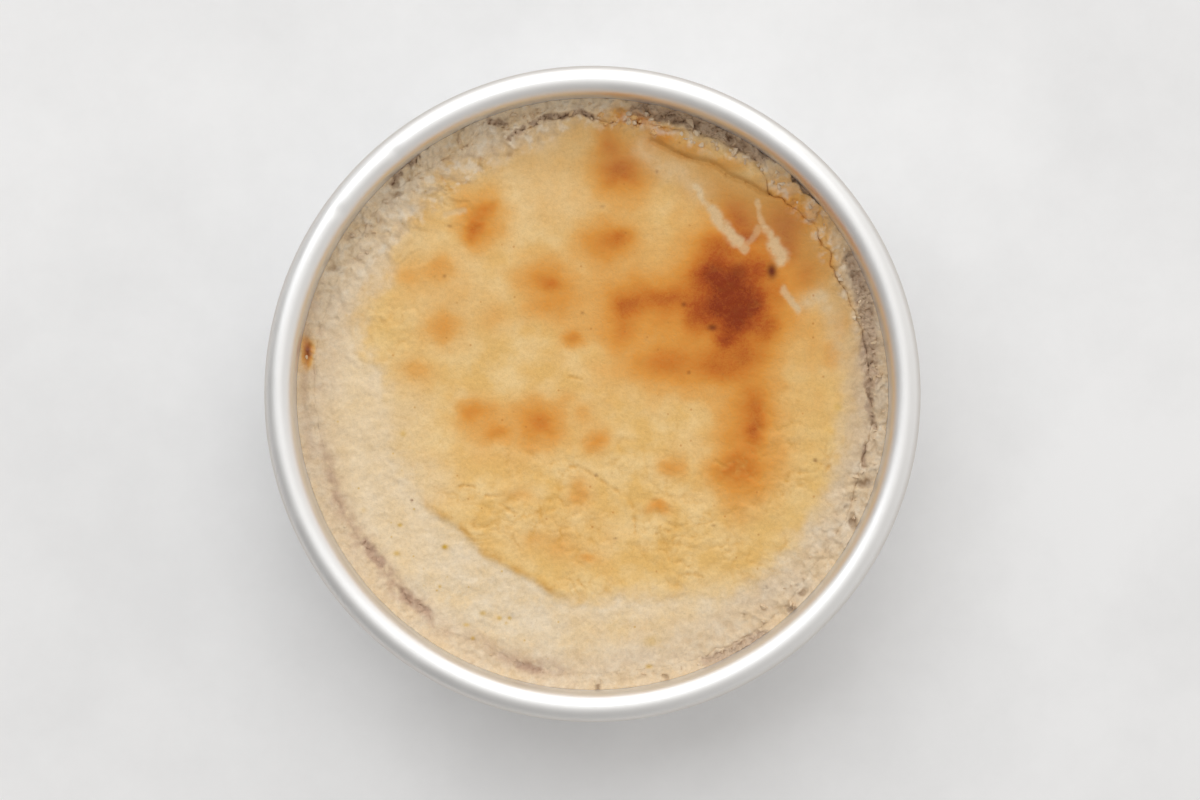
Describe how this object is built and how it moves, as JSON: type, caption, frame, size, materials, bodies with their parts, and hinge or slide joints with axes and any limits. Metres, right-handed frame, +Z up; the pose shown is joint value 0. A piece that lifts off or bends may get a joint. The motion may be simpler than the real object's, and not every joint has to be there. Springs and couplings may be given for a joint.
{
  "type": "baked cheesecake in a round tin",
  "caption": "Round baked cheesecake in its straight-sided cake tin with a rolled rim: toasted golden skin, pale cream band and a crumbly crust round the wall.",
  "frame": {"origin": "centre of the tin's underside, on the surface that it stands on", "axes": "+Z up through the middle of the tin; +Y to the far side and +X to the right, seen from above with the darkest toasted spot at the upper right"},
  "size_m": [0.1956, 0.1956, 0.05],
  "materials": {
    "tin_aluminium": "satin anodised",
    "cake_crust": "baked, pale and crumbly",
    "cake_filling": "baked custard skin, satin, toasted in spots"
  },
  "bodies": {
    "root": {"tin": "tin_aluminium", "crust": "cake_crust", "filling": "cake_filling"}
  },
  "joints": []
}
